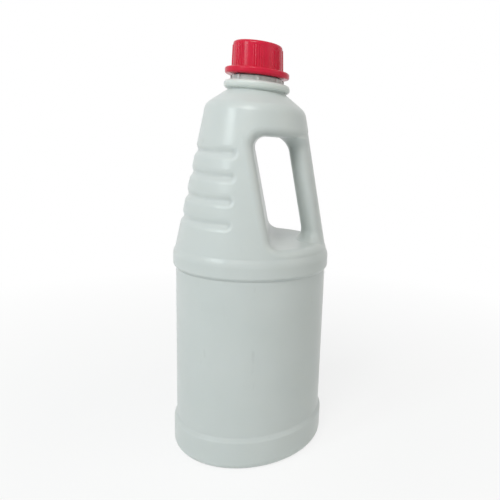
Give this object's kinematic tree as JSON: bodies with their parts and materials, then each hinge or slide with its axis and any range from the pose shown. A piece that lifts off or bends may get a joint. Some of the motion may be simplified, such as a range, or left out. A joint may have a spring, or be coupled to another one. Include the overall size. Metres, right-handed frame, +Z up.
{
  "type": "handled bottle",
  "caption": "Blown plastic bottle with a moulded-in hollow handle, finger grooves, a rolled shoulder ring and a ratchet neck closed by a ribbed screw cap.",
  "frame": {"origin": "centre of the standing ring, on the surface the bottle stands on", "axes": "+Z up along the neck axis, +X towards the handle, the handle's parting plane is XZ"},
  "size_m": [0.0928, 0.0928, 0.2482],
  "materials": {
    "bottle_plastic": "satin white polyethylene",
    "cap_plastic": "glossy red polypropylene",
    "liner_foam": "white foamed polyethylene"
  },
  "bodies": {
    "bottle": {"bottle": "bottle_plastic"},
    "liner": {"cap_liner": "liner_foam"},
    "cap": {"screw_cap": "cap_plastic"}
  },
  "joints": [
    {"name": "cap_lift", "type": "slide", "parent": "bottle", "child": "liner", "axis": [0, 0, 1], "range_m": [0, 0.0063]},
    {"name": "cap_turn", "type": "hinge", "parent": "liner", "child": "cap", "pos_m": [0, 0, 0.2385], "axis": [0, 0, 1], "range_deg": [0, 540]}
  ],
  "couplings": [
    {"joint": "cap_lift", "follows": "cap_turn", "m_per_rad": 0.00066845}
  ]
}
